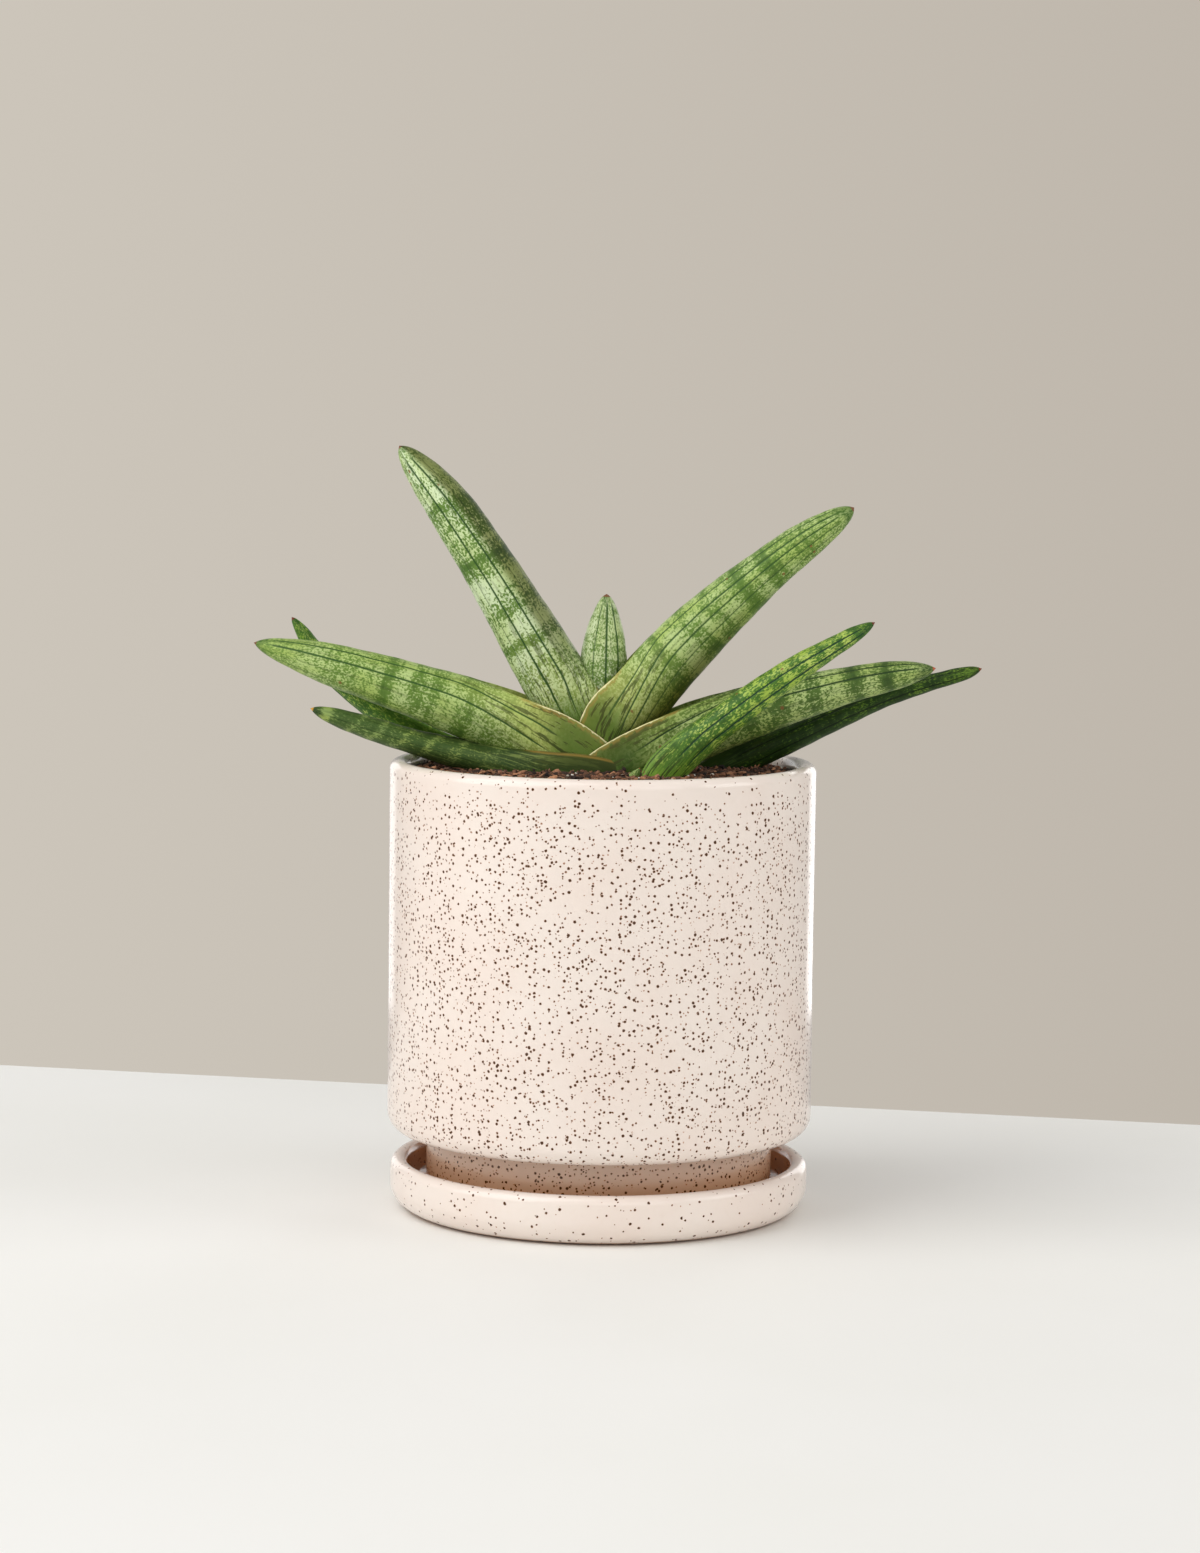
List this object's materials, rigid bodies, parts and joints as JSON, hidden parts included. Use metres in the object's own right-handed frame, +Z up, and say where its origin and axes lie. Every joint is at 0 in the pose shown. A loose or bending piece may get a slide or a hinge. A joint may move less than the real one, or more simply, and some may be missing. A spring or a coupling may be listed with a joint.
{
  "type": "potted cylindrical snake plant",
  "caption": "Young cylindrical snake plant with a two-ranked fan of stout mottled leaves, rooted in soil in a speckled glazed cylinder pot on a matching saucer.",
  "frame": {"origin": "centre of the saucer's flat underside, on the surface that the saucer stands on", "axes": "+Z up; X along the spread of the two-ranked fan, +X to the right seen from the front; -Y towards the front"},
  "size_m": [0.2228, 0.13, 0.2323],
  "materials": {
    "saucer_glaze": "glossy blush glaze with sparse dark specks",
    "pot_glaze": "glossy blush glaze with dense dark specks",
    "soil": "loose dark bark and peat mix with white grit",
    "rhizome": "dull orange brown stem and roots",
    "leaf_mottled": "satin grey green skin with darker cross bands and fine dark grooves",
    "leaf_dark": "satin dark green skin with faint pale bands",
    "leaf_bright": "satin bright green skin with yellow green patches",
    "sheath": "dull pale green scale"
  },
  "bodies": {
    "root": {"saucer": "saucer_glaze", "pot": "pot_glaze", "soil": "soil", "rhizome": "rhizome", "leaf_outer_left": "leaf_dark", "leaf_middle_right": "leaf_mottled", "leaf_middle_left": "leaf_mottled", "leaf_upper_right": "leaf_mottled", "leaf_upper_left": "leaf_mottled", "leaf_inner_centre": "leaf_mottled", "leaf_front_right": "leaf_bright", "leaf_back_left": "leaf_bright", "leaf_back_right": "leaf_dark", "sheath_scale": "sheath"}
  },
  "joints": []
}
